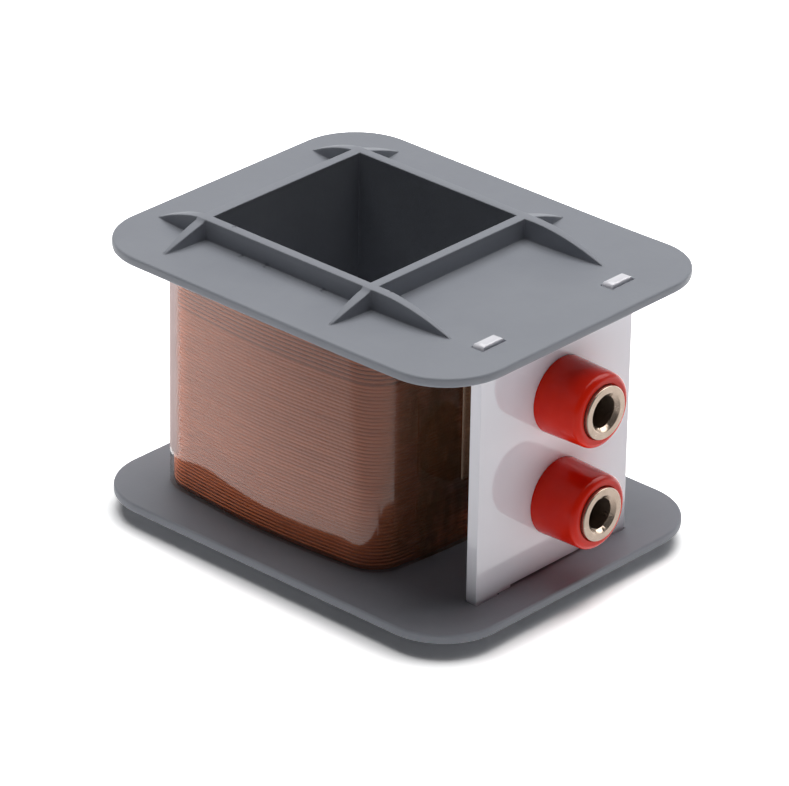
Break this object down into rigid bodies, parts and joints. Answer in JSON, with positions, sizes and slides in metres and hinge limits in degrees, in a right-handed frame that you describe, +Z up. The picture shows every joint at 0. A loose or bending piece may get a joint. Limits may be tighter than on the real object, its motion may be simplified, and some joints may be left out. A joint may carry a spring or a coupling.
{
  "type": "demonstration coil",
  "caption": "Plug-in coil for a teaching transformer: copper winding on a moulded former with a square core opening and a terminal plate with two plug sockets.",
  "frame": {"origin": "axis of the square core opening, on the face that the coil stands on", "axes": "+Z up along the core opening, -Y out of the two sockets, +X to the right when the sockets face the viewer"},
  "size_m": [0.048, 0.0626, 0.0393],
  "materials": {
    "moulded_grey": "satin moulded",
    "copper_wire": "enamelled copper wire",
    "clear_film": "clear gloss film",
    "clear_tape": "translucent tape",
    "white_plastic": "gloss",
    "red_plastic": "gloss",
    "nickel_plate": "nickel-plated brass",
    "tinned_metal": "tinned",
    "zinc_steel": "zinc plated",
    "lead_sleeving": "silicone sleeving",
    "solder": "bright solder"
  },
  "bodies": {
    "root": {"coil_former": "moulded_grey", "winding_core": "copper_wire", "winding_outer_layer": "copper_wire", "cover_film": "clear_film", "closing_tape": "clear_tape", "start_lead": "copper_wire", "end_lead": "copper_wire", "start_lead_sleeve": "lead_sleeving", "end_lead_sleeve": "lead_sleeving", "terminal_plate": "white_plastic", "lower_insulating_collar": "red_plastic", "lower_socket_body": "nickel_plate", "lower_solder_tag": "tinned_metal", "lower_lock_washer": "zinc_steel", "lower_nut": "nickel_plate", "lower_solder_joint": "solder", "upper_insulating_collar": "red_plastic", "upper_socket_body": "nickel_plate", "upper_solder_tag": "tinned_metal", "upper_lock_washer": "zinc_steel", "upper_nut": "nickel_plate", "upper_solder_joint": "solder"}
  },
  "joints": []
}
